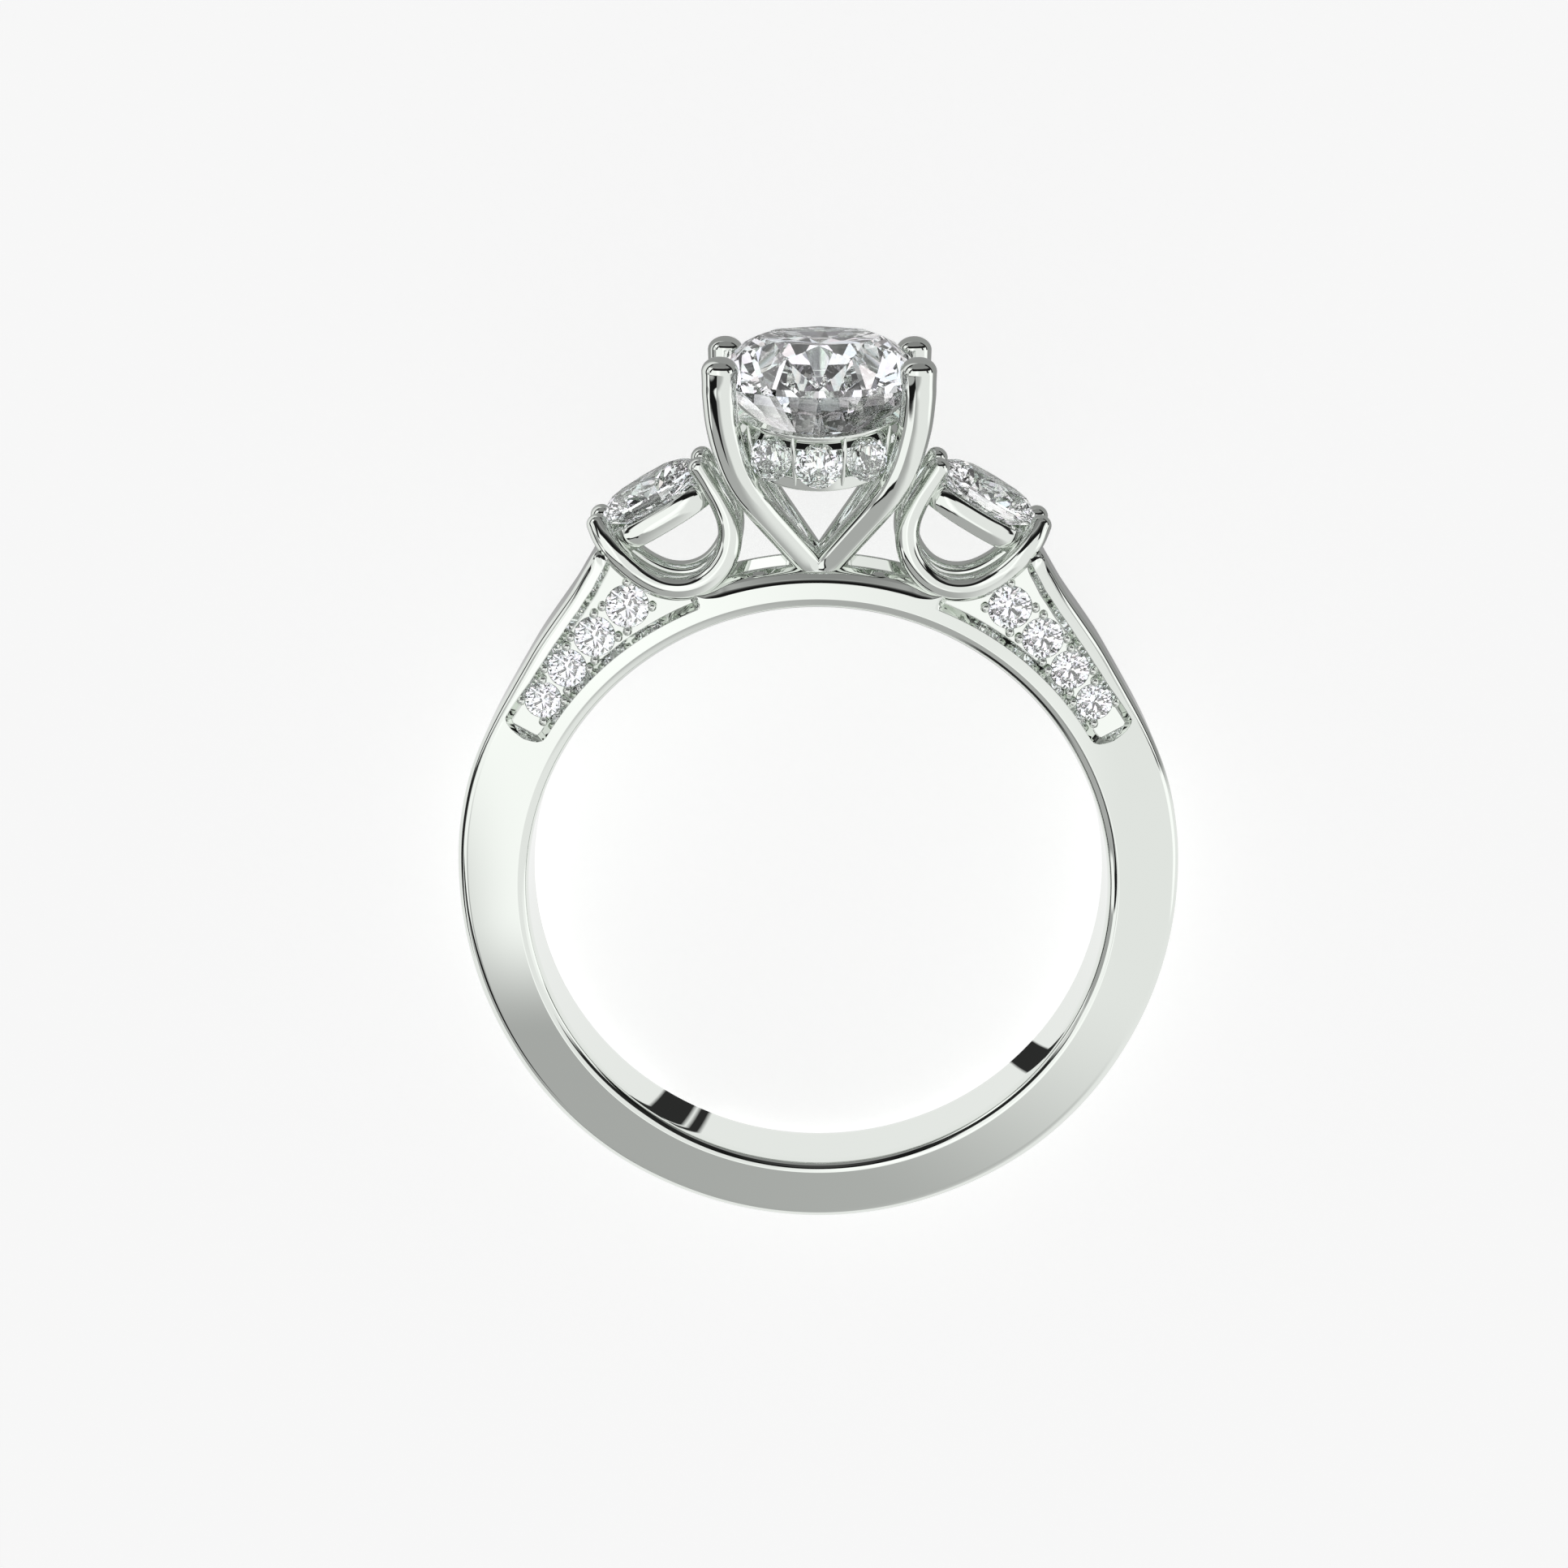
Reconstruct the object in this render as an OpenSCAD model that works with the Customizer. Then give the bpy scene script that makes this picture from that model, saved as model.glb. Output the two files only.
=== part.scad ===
// Three-stone ring lying on its side: an oval centre stone in four claws, two smaller oval side stones in
// wire baskets, and small round stones along the shoulders and around the gallery. Millimetres.
// Everything is drawn upright first, X across, Y along the finger and Z towards the head, and laid down last.

/* [Band] */
// Radius of the finger bore
bore_r = 8.675; // [8:0.025:9.8]
// Width of the band along the finger
band_w = 2.7; // [2.5:0.1:3]
// Thickness of the band at the bottom
band_t = 1.825; // [1.5:0.025:2.2]
// Bevel where the flat sides meet the bore
bore_bevel = 0.27; // [0.1:0.01:0.3]
// Bevel where the flat sides meet the outside
rim_bevel = 0.2; // [0.1:0.01:0.25]
// Height of the bridge under the head
bridge_t = 1.2; // [1.1:0.02:1.3]
// Depth of the groove between the two rails of the bridge
groove_d = 0.42; // [0.2:0.02:0.5]

/* [Centre stone] */
// Length of the centre stone, along the finger
centre_l = 7.7; // [7.2:0.1:7.9]
// Width of the centre stone
centre_w = 6.2; // [5.9:0.1:6.4]
// Height of its girdle above the bore
centre_h = 6.62; // [6.5:0.02:6.8]
// Radius of the centre claws near the tip
claw_r = 0.48; // [0.42:0.01:0.5]

/* [Side stones] */
// Length of a side stone
side_l = 3.56; // [3.3:0.02:3.6]
// Width of a side stone, along the finger
side_w = 2.4; // [2.2:0.1:2.5]
// Outward lean of the side stones in degrees
side_lean = 31; // [28:1:34]
// Radius of the basket wire at its bottom
wire_r = 0.37; // [0.3:0.01:0.38]

/* [Small stones] */
// Diameter of the topmost shoulder stone
pave_top = 1.28; // [1.2:0.02:1.3]
// Diameter of the lowest shoulder stone
pave_low = 1.08; // [1:0.02:1.1]
// Diameter of the gallery stones
gallery_d = 1.36; // [1.2:0.02:1.4]
// Radius of the beads that hold the shoulder stones
bead_r = 0.13; // [0.1:0.01:0.14]

/* [Hidden] */

// Space left between a stone and its seat
gap = 0.03;
half = band_w / 2;

// Proportions of a cut stone, as shares of its width
table_share = 0.58;
crown_share = 0.17;
girdle_share = 0.03;
pavilion_share = 0.43;

// Outline of the band: angle from the bottom and thickness beyond the band's own
outline = [
  [0, 0], [20, 0], [40, 0.045], [60, 0.06], [75, 0.12], [90, 0.235], [101, 0.36], [112, 0.45],
  [118, 0.46], [123, 0.49], [127.5, 0.57], [132.5, 0.73], [137.4, 0.91], [141.5, 1.12], [145.8, 1.49], [147.6, 1.74]
];
// The same beyond the shoulder's tip, down to the bridge: angle from the top and height over the bore
saddle = [[31.4, 3.3], [30.4, 2.62], [29, 2.14], [27, 1.68], [25, 1.4], [22.5, 1.26], [19.5, bridge_t], [0, bridge_t]];

// Laying down: the lean that brings the centre stone's end and the band's edge to the floor
girdle_z = bore_r + centre_h;
rest_y = centre_l / 2 - half;
rest_z = girdle_z - girdle_share / 2 * centre_w + bore_r + band_t - rim_bevel;
rest_lean = atan2(rest_y, rest_z);
table_z = girdle_z + (girdle_share / 2 + crown_share) * centre_w;
table_y = table_share * centre_l / 2;
low_z = half * cos(rest_lean) + (bore_r + band_t - rim_bevel) * sin(rest_lean);
far_y = table_z * cos(rest_lean) + table_y * sin(rest_lean);
near_y = (bore_r + band_t) * cos(rest_lean) + (half - rim_bevel) * sin(rest_lean);
shift_y = -(far_y - near_y) / 2;

// Lays the upright ring on its side, with the box's middle over the origin
module laid() {
  translate([0, shift_y, low_z])
    rotate([rest_lean, 0, 0])
      rotate([-90, 0, 0])
        children();
}

function unit(v) = v / norm(v);

// Value of a table of pairs at a, in between by straight lines
function at(t, a, i = 0) =
  i >= len(t) - 2 || a <= t[i + 1][0]
    ? t[i][1] + (t[i + 1][1] - t[i][1]) * (a - t[i][0]) / (t[i + 1][0] - t[i][0])
    : at(t, a, i + 1);

// A smooth curve through a list of points, u from 0 to the last index
function curve(p, u) =
  let (
    i = min(floor(u), len(p) - 2),
    f = u - i,
    a = p[max(i - 1, 0)],
    b = p[i],
    c = p[i + 1],
    d = p[min(i + 2, len(p) - 1)]
  )
  b + f / 2 * (c - a) + f * f / 2 * (2 * a - 5 * b + 4 * c - d) + f * f * f / 2 * (3 * b - a - 3 * c + d);

function xyz(p) = [p[0], p[1], p[2]];

// Points around a place on a curve, side to side and fore and aft
function around(c, t, across, r, n) =
  let (z = unit(t), x = unit(cross(across, z)), y = cross(z, x))
  [for (k = [0 : n - 1]) c + r * cos(360 * k / n) * x + r * sin(360 * k / n) * y];

// Rings of points along a wire given as [x, y, z, radius], with a domed end
function wire_rings(p, steps, n, across, round_start, round_end, dome = 1) =
  let (
    m = (len(p) - 1) * steps,
    pts = [for (i = [0 : m]) curve(p, i / steps)],
    tan = [for (i = [0 : m]) xyz(pts[min(i + 1, m)]) - xyz(pts[max(i - 1, 0)])],
    t0 = unit(tan[0]),
    t1 = unit(tan[m])
  )
  concat(
    round_start
      ? [for (a = [78, 52, 26]) around(xyz(pts[0]) - dome * pts[0][3] * sin(a) * t0, t0, across, pts[0][3] * cos(a), n)]
      : [],
    [for (i = [0 : m]) around(xyz(pts[i]), tan[i], across, pts[i][3], n)],
    round_end
      ? [for (a = [26, 52, 78]) around(xyz(pts[m]) + dome * pts[m][3] * sin(a) * t1, t1, across, pts[m][3] * cos(a), n)]
      : []
  );

// A closed skin over rings of points
module skin(rings) {
  n = len(rings[0]);
  m = len(rings);
  polyhedron(
    points = [for (r = rings) each r],
    faces = concat(
      [[for (k = [0 : n - 1]) k]],
      [for (i = [0 : m - 2], k = [0 : n - 1]) each [
        [i * n + k, (i + 1) * n + k, (i + 1) * n + (k + 1) % n],
        [i * n + k, (i + 1) * n + (k + 1) % n, i * n + (k + 1) % n]
      ]],
      [[for (k = [n - 1 : -1 : 0]) (m - 1) * n + k]]
    )
  );
}

// A skin over rings that close on themselves, with no ends
module loop_skin(rings) {
  n = len(rings[0]);
  m = len(rings);
  polyhedron(
    points = [for (r = rings) each r],
    faces = [for (i = [0 : m - 1], k = [0 : n - 1]) each [
      [i * n + k, ((i + 1) % m) * n + k, ((i + 1) % m) * n + (k + 1) % n],
      [i * n + k, ((i + 1) % m) * n + (k + 1) % n, i * n + (k + 1) % n]
    ]]
  );
}

// A cut stone: table up, girdle's middle at the origin, length along Y, width along X
module cut_stone(w, l) {
  hc = (crown_share + girdle_share / 2) * w;
  hg = girdle_share / 2 * w;
  hp = (pavilion_share + girdle_share / 2) * w;
  star = (table_share * cos(22.5) + 1) / 2;
  low = 0.24;
  function p(r, a, z) = [r * cos(a) * w / 2, r * sin(a) * l / 2, z];
  points = concat(
    [for (k = [0 : 7]) p(table_share, 45 * k, hc)],
    [for (k = [0 : 7]) p(star, 45 * k + 22.5, hg + (hc - hg) * (1 - star * cos(22.5)) / (1 - table_share))],
    [for (k = [0 : 15]) p(1, 22.5 * k, hg)],
    [for (k = [0 : 15]) p(1, 22.5 * k, -hg)],
    [for (k = [0 : 7]) p(low, 45 * k + 22.5, -hg - (hp - hg) * (1 - low * cos(22.5)))],
    [[0, 0, -hp]]
  );
  faces = concat(
    [[7, 6, 5, 4, 3, 2, 1, 0]],
    [for (k = [0 : 7]) each [
      [k, (k + 1) % 8, 8 + k],
      [k, 8 + k, 16 + 2 * k],
      [k, 16 + 2 * k, 8 + (k + 7) % 8],
      [8 + k, 16 + 2 * k + 1, 16 + 2 * k],
      [8 + k, 16 + (2 * k + 2) % 16, 16 + 2 * k + 1],
      [48 + k, 32 + 2 * k, 32 + 2 * k + 1],
      [48 + k, 32 + 2 * k + 1, 32 + (2 * k + 2) % 16],
      [56, 32 + 2 * k, 48 + k],
      [56, 48 + (k + 7) % 8, 32 + 2 * k]
    ]],
    [for (k = [0 : 15]) each [
      [16 + k, 16 + (k + 1) % 16, 32 + (k + 1) % 16],
      [16 + k, 32 + (k + 1) % 16, 32 + k]
    ]]
  );
  polyhedron(points, faces);
}

// Height of the outline over the bore at an angle from the bottom
function rim_at(a) =
  a <= outline[len(outline) - 1][0] ? band_t + at(outline, a) : at_back(180 - a);
function at_back(a) =
  let (s = [for (i = [len(saddle) - 1 : -1 : 0]) saddle[i]])
  at(s, a);

// Angles of the outline's stations, closer together on the shoulder
stations = concat(
  [for (a = [0 : 4 : 116]) a],
  [for (a = [119 : 3 : 143]) a],
  [145.5, 147.6, 148.6, 149.6, 151, 153, 155, 157.5, 160.5],
  [for (a = [164 : 4 : 176]) a]
);
turn = concat(stations, [180], [for (i = [len(stations) - 1 : -1 : 1]) 360 - stations[i]]);

// One cross-section of the band at an angle from the bottom
function section_at(a) =
  let (
    s = a > 180 ? -1 : 1,
    f = a > 180 ? 360 - a : a,
    r = bore_r + rim_at(f),
    d = [s * sin(f), 0, -cos(f)],
    e = [0, 1, 0]
  )
  [
    (bore_r - 0.6) * d - half * e,
    (r - rim_bevel) * d - half * e,
    r * d - (half - rim_bevel) * e,
    r * d + (half - rim_bevel) * e,
    (r - rim_bevel) * d + half * e,
    (bore_r - 0.6) * d + half * e
  ];

module band_blank() {
  loop_skin([for (a = turn) section_at(a)]);
}

// The groove between the rails of the bridge, left whole under the claws
module bridge_groove() {
  top = bore_r + bridge_t;
  for (s = [-1, 1])
    rotate([0, s * 11.9, 0])
      rotate([90, 0, 0])
        rotate([0, 0, 83.5])
          rotate_extrude(angle = 13, $fn = 96)
            translate([top - groove_d, -(half - 0.55)])
              square([1, band_w - 1.1]);
}

// Shoulder stones: place of each girdle's middle on a shoulder's face
pave_n = 4;
function pave_d(i) = pave_top + (pave_low - pave_top) * i / (pave_n - 1);
function pave_a(i) = [147.3, 139.9, 132.8, 125.9][i];
function pave_h(i) = bore_r + [1.66, 1.5, 1.38, 1.33][i];
function pave_x(i) = pave_h(i) * sin(pave_a(i));
function pave_z(i) = -pave_h(i) * cos(pave_a(i));
channel_d = 0.3;
floor_y = half - channel_d;

// Stands a child on the face of a shoulder: s left or right, f front or back
module on_shoulder(i, s, f) {
  translate([s * pave_x(i), f * floor_y, pave_z(i)])
    rotate([-90 * f, 0, 0])
      rotate([0, 0, 45])
        children();
}

// Outer and inner edge of a channel, from its rounded lower end up: angle and height over the bore of each
channel_edges = [
  [118.7, 1.3, 118.9, 0.98],
  [119.1, 1.66, 119.5, 0.74],
  [120.3, 1.99, 122.5, 0.66],
  [123.6, 1.98, 126, 0.66],
  [127.2, 1.97, 129.5, 0.66],
  [131.6, 2.06, 133.5, 0.66],
  [136.2, 2.21, 137.5, 0.66],
  [140.9, 2.43, 141.5, 0.66],
  [144.6, 2.68, 144.8, 0.66],
  [147.6, 3, 148, 0.66]
];
// The same under the head, where the outer edge follows the band
channel_head = [[150, 150.8], [152.5, 153.2], [155, 155.6], [158, 159]];
channel_out = 0.22;
channel_in = 0.26;

function polar(a, r, y) = [r * sin(a), y, -r * cos(a)];
function channel_ring(q, turn_low = 0) =
  let (mid = (q[1] + q[3]) / 2)
  [
    polar(q[2], bore_r + q[3] - 0.02, half + 0.1),
    polar(q[2] + turn_low, bore_r + min(q[3] + channel_in, mid - 0.08), floor_y),
    polar(q[0] + turn_low, bore_r + max(q[1] - channel_out, mid + 0.08), floor_y),
    polar(q[0], bore_r + q[1] + 0.02, half + 0.1)
  ];

module channel_cut(s, f) {
  mirror([s < 0 ? 1 : 0, 0, 0])
    mirror([0, f < 0 ? 1 : 0, 0])
      skin(concat(
        [for (i = [0 : len(channel_edges) - 1]) channel_ring(channel_edges[i], i < 2 ? 0.75 : 0)],
        [for (q = channel_head) channel_ring([q[0], rim_at(q[0]) - 0.1, q[1], 0.66])]
      ));
}

// The cup that a shoulder stone sits in
module pave_seat(d) {
  r = d / 2 + gap;
  translate([0, 0, -girdle_share * d])
    cylinder(h = channel_d + 0.3, r = r, $fn = 32);
  translate([0, 0, -0.5 * d - gap])
    cylinder(h = (0.5 - girdle_share) * d + gap + 0.001, r1 = 0.1, r2 = r, $fn = 32);
}

// Four beads around a shoulder stone
module pave_beads(d) {
  for (k = [0 : 3])
    rotate([0, 0, 45 + 90 * k])
      translate([d / 2 + 0.1, 0, 0.1])
        sphere(r = bead_r, $fn = 24);
}

// Path of a centre claw, front right: x, y, z over the bore, radius
claw_path = [
  [0.05, 0.7, 0.98, 0.41],
  [0.39, 0.81, 1.43, 0.43],
  [1.04, 1.28, 2.26, 0.435],
  [1.7, 1.8, 3.12, 0.44],
  [2.12, 2, 3.72, 0.45],
  [2.45, 2.1, 4.45, 0.46],
  [2.71, 2.2, 5.45, claw_r],
  [2.8, 2.3, 6.35, claw_r],
  [2.79, 2.33, 7.03, claw_r + 0.04]
];
function risen(p) = [for (q = p) [q[0], q[1], q[2] + bore_r, q[3]]];

// Room for the centre stone
module centre_room() {
  k = 1 + 2 * gap / centre_w;
  translate([0, 0, girdle_z])
    scale([k, k, k])
      cut_stone(centre_w, centre_l);
}

module claw() {
  difference() {
    skin(wire_rings(risen(claw_path), 2, 12, [0, 1, 0], true, true, 0.9));
    centre_room();
  }
}

// Gallery ring under the centre stone: half widths at mid height, its height, thickness and rise at the sides
gal_x = 2.7;
gal_y = 2.85;
gal_z = bore_r + 4.5;
gal_h = 1.6;
gal_edge = 0.06;
gal_t = 0.55;
gal_flare = 0.16;
gal_rise = 0.075;
function gal_point(a, out, h) =
  let (x = gal_x * sin(a), y = -gal_y * cos(a), n = unit([x / gal_x / gal_x, y / gal_y / gal_y, 0]))
  [x, y, gal_z + gal_rise * x * x + h] + (out + gal_flare * h / (gal_h / 2)) * n;
module gallery_ring() {
  loop_skin([
    for (i = [0 : 47])
      let (a = 7.5 * (i + 0.5))
      [
        gal_point(a, -gal_t, gal_h / 2 - gal_edge),
        gal_point(a, -gal_edge, gal_h / 2),
        gal_point(a, 0, gal_h / 2 - gal_edge),
        gal_point(a, 0, gal_edge - gal_h / 2),
        gal_point(a, -gal_edge, -gal_h / 2),
        gal_point(a, -gal_t, gal_edge - gal_h / 2)
      ]
  ]);
}

// Angles of the gallery stones from the front: three front, two at each side, three back
gal_angles = [-30, 0, 30, 75, 105, 150, 180, 210, 255, 285];
function gal_normal(a) = unit([sin(a) / gal_x, -cos(a) / gal_y, 0]);
module on_gallery(a, out) {
  n = gal_normal(a);
  translate(gal_point(a, out, 0))
    rotate([0, 0, atan2(n[1], n[0])])
      rotate([0, 90 - atan(gal_flare / (gal_h / 2)), 0])
        children();
}
module gallery_seat() {
  r = gallery_d / 2 + gap;
  translate([0, 0, -girdle_share * gallery_d])
    cylinder(h = 1, r = r, $fn = 16);
  translate([0, 0, -0.47 * gallery_d])
    cylinder(h = (0.47 - girdle_share) * gallery_d + 0.001, r1 = 0.12, r2 = r, $fn = 16);
}
// Thin upright bars between the gallery stones
gal_bars = [-45, -15, 15, 45, 60, 90, 120, 135, 165, 195, 225, 240, 270, 300];
module gallery_bar(a) {
  low = gal_point(a, 0, -gal_h / 2 + 0.12);
  high = gal_point(a, 0, gal_h / 2 - 0.06);
  skin([for (p = [low, high]) around(p, high - low, [0, 0.1, 1], 0.09, 6)]);
}

module gallery() {
  difference() {
    union() {
      gallery_ring();
      for (a = gal_bars)
        gallery_bar(a);
    }
    for (a = gal_angles)
      on_gallery(a, 0)
        gallery_seat();
  }
}

// Side stone: middle of its girdle
side_x = 4.93;
side_z = bore_r + 3.215;

// Path of a basket loop at the right front: x, y, z over the bore, radius; outer tip first
loop_path = [
  [6.44, 0.62, 2.4, 0.25],
  [6.22, 0.72, 1.99, 0.29],
  [5.83, 0.86, 1.5, 0.33],
  [5.3, 1, 1.02, 0.36],
  [4.7, 1.06, 0.68, wire_r],
  [4.14, 1.08, 0.57, wire_r],
  [3.6, 1.08, 0.65, wire_r],
  [3.12, 1.07, 0.93, wire_r],
  [2.74, 1.05, 1.42, wire_r],
  [2.58, 1.02, 1.97, 0.36],
  [2.6, 0.99, 2.5, 0.33],
  [2.82, 0.96, 3.05, 0.29],
  [3.14, 0.93, 3.58, 0.26],
  [3.49, 0.92, 4.14, 0.235]
];
module basket_loop() {
  skin(wire_rings(risen(loop_path), 2, 10, [0, 1, 0], true, true, 0.9));
}

// Stands a child in the side stone's own frame: s left or right
module at_side(s) {
  mirror([s < 0 ? 1 : 0, 0, 0])
    translate([side_x, 0, side_z])
      rotate([0, side_lean, 0])
        children();
}

// Gallery rail of a side basket: a flattened ring inside the loops
rail_x = 1.66;
rail_y = 1.03;
rail_t = 0.34;
rail_low = -1.3;
rail_top = -0.42;
function rail_point(a, in, z) =
  let (c = cos(a), s = sin(a))
  [
    (rail_x - in) * sign(c) * pow(abs(c), 0.38),
    (rail_y - in) * sign(s) * pow(abs(s), 0.38),
    z
  ];
module side_rail() {
  loop_skin([
    for (i = [0 : 27])
      let (a = 360 / 28 * (i + 0.5))
      [
        rail_point(a, rail_t, rail_top),
        rail_point(a, 0.1, rail_top),
        rail_point(a, 0, rail_top - 0.12),
        rail_point(a, 0, rail_low),
        rail_point(a, rail_t, rail_low)
      ]
  ]);
}

// Basket of the right side stone, with room for the stone
module basket() {
  k = 1 + 2 * gap / side_w;
  difference() {
    union() {
      for (f = [0, 1])
        mirror([0, f, 0])
          basket_loop();
      at_side(1)
        side_rail();
    }
    at_side(1)
      scale([k, k, k])
        rotate([0, 0, 90])
          cut_stone(side_w, side_l);
  }
}

module head() {
  for (s = [0, 1])
    mirror([s, 0, 0]) {
      for (f = [0, 1])
        mirror([0, f, 0])
          claw();
      basket();
    }
  gallery();
}

module bore_cut() {
  rotate([90, 0, 0]) {
    cylinder(h = band_w + 1, r = bore_r, center = true, $fn = 120);
    for (s = [0, 1])
      mirror([0, 0, s])
        translate([0, 0, half - bore_bevel])
          cylinder(h = bore_bevel + 0.3, r1 = bore_r, r2 = bore_r + bore_bevel + 0.3, $fn = 120);
  }
}

module upright_metal() {
  difference() {
    union() {
      difference() {
        band_blank();
        bridge_groove();
        for (s = [-1, 1], f = [-1, 1])
          channel_cut(s, f);
      }
      head();
      for (s = [-1, 1], f = [-1, 1], i = [0 : pave_n - 1])
        on_shoulder(i, s, f)
          pave_beads(pave_d(i));
    }
    bore_cut();
    for (s = [-1, 1], f = [-1, 1], i = [0 : pave_n - 1])
      on_shoulder(i, s, f)
        pave_seat(pave_d(i));
  }
}

module ring_metal() {
  color("silver")
    laid()
      upright_metal();
}

module centre_stone() {
  color("lightcyan")
    laid()
      translate([0, 0, girdle_z])
        cut_stone(centre_w, centre_l);
}

module side_stone(s) {
  color("lightblue")
    laid()
      at_side(s)
        rotate([0, 0, 90])
          cut_stone(side_w, side_l);
}
module side_stone_left() {
  side_stone(-1);
}
module side_stone_right() {
  side_stone(1);
}

// Shoulder stones count from the front left down, then front right, back left and back right
module shoulder_stone(n) {
  i = (n - 1) % pave_n;
  q = floor((n - 1) / pave_n);
  color("azure")
    laid()
      on_shoulder(i, q % 2 == 0 ? -1 : 1, q < 2 ? -1 : 1)
        cut_stone(pave_d(i), pave_d(i));
}

module gallery_stone(n) {
  color("aliceblue")
    laid()
      on_gallery(gal_angles[n - 1], 0)
        cut_stone(gallery_d, gallery_d);
}

ring_metal();
centre_stone();
side_stone_left();
side_stone_right();
for (n = [1 : 16])
  shoulder_stone(n);
for (n = [1 : 10])
  gallery_stone(n);
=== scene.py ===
# %% [markdown]
# # A three-stone ring lying on its side
#
# The ring is cast in white gold. An oval stone stands high in four claws, a smaller oval leans out in a
# wire basket on each side, and tiny round stones run down both faces of the shoulders. The CAD frame holds
# the true sizes and the stones; this lesson works out finer metal surfaces with numpy, gives metal and
# stones their finish, and sets up the studio and the camera.

# %% Load the frame
import math

import bpy
import numpy as np
from mathutils import Matrix


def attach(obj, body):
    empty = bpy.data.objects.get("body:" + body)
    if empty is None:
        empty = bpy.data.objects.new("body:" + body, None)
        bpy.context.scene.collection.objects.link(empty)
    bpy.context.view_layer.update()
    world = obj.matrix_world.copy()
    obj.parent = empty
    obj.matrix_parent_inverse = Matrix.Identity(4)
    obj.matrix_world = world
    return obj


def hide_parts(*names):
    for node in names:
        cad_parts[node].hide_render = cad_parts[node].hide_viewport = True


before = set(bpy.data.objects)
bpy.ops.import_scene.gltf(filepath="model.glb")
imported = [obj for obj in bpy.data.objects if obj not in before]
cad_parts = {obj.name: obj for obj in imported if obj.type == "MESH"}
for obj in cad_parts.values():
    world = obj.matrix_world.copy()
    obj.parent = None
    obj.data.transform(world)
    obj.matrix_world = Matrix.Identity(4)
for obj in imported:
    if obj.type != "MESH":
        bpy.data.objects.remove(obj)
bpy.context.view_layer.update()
print("frame nodes:", len(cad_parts))

# %% [markdown]
# A jeweller thinks of a ring standing upright, so every surface here is worked out upright and in
# millimetres: x across, y along the finger, z towards the head, with the middle of the bore at zero. The
# ring then leans back until its face looks up, with the band's edge and the long stone's end on the floor.
# Turning the points once at the end keeps every object at the origin, as the CAD nodes are.

# %% Lay the upright ring down
# Radius of the bore, half the band's width, its thickness and its bevel
BORE, HALF, BAND_T, RIM = 8.675, 1.35, 1.825, 0.2
# Oval stone: length, width and height of the girdle. Half the girdle and the crown's top are shares of the
# width, and the table is a share of the length.
STONE_L, STONE_W = 7.7, 6.2
GIRDLE_Z = BORE + 6.62
HALF_GIRDLE, CROWN_TOP, TABLE_SHARE = 0.015, 0.185, 0.58
# LOW lifts the ring onto the floor; FAR and NEAR are its reach each way, and SHIFT puts it in the middle
LEAN = math.atan2(STONE_L / 2 - HALF, GIRDLE_Z - HALF_GIRDLE * STONE_W + BORE + BAND_T - RIM)
LOW = HALF * math.cos(LEAN) + (BORE + BAND_T - RIM) * math.sin(LEAN)
FAR = (GIRDLE_Z + CROWN_TOP * STONE_W) * math.cos(LEAN) + TABLE_SHARE * STONE_L / 2 * math.sin(LEAN)
NEAR = (BORE + BAND_T) * math.cos(LEAN) + (HALF - RIM) * math.sin(LEAN)
SHIFT = (NEAR - FAR) / 2


def lie(v):
    """Turn directions: x stays, y becomes z cos(lean) + y sin(lean), z becomes z sin(lean) - y cos(lean)."""
    v = np.asarray(v, float)
    x, y, z = v[..., 0], v[..., 1], v[..., 2]
    north = z * math.cos(LEAN) + y * math.sin(LEAN)
    return np.stack([x, north, z * math.sin(LEAN) - y * math.cos(LEAN)], -1)


def laid(p):
    """Points: the same turn, then moved over the origin, and millimetres made metres."""
    return (lie(p) + [0, SHIFT, LOW]) / 1000


print("lean of the ring in degrees:", round(math.degrees(LEAN), 3))

# %% [markdown]
# The camera looks at the ring from in front and a little above, as the photograph does. In the upright
# frame it stands 90 mm away and looks down by 15.8 degrees. Its picture is moved off the middle by placing
# the camera, so no lens shift is needed. A width of 1932 pixels and a focal length of 3659 pixels make a
# lens of 68 mm on a 36 mm sensor.

# %% Camera
PITCH, YAW = math.radians(15.76), math.radians(0.87)
PHOTO_WIDTH, FOCAL_LENGTH = 1932, 3659.4
AWAY, TO_THE_LEFT, UPWARDS = 90, 1.022, 2.91
right = np.array([math.cos(YAW), math.sin(YAW), 0])
ahead = np.array([-math.sin(YAW) * math.cos(PITCH), math.cos(YAW) * math.cos(PITCH), -math.sin(PITCH)])
above = np.cross(right, ahead)
eye = -AWAY * ahead - TO_THE_LEFT * right + UPWARDS * above

camera_data = bpy.data.cameras.new("camera")
camera_data.sensor_width = 36
camera_data.lens = 36 * FOCAL_LENGTH / PHOTO_WIDTH
camera_data.clip_start, camera_data.clip_end = 0.005, 20
camera = bpy.data.objects.new("camera", camera_data)
bpy.context.scene.collection.objects.link(camera)
pose = np.eye(4)
pose[:3, 0], pose[:3, 1], pose[:3, 2], pose[:3, 3] = lie(right), lie(above), -lie(ahead), laid(eye)
camera.matrix_world = Matrix(pose.tolist())
bpy.context.scene.camera = camera
print("camera height in metres:", round(float(pose[2, 3]), 4))

# %% [markdown]
# Every surface below is a grid of points. A few small helpers turn a grid into faces, mirror it and gather
# several grids into one object. A closed skin should hold a positive volume; where it doesn't, its faces
# are turned round, so they all point outwards.


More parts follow.
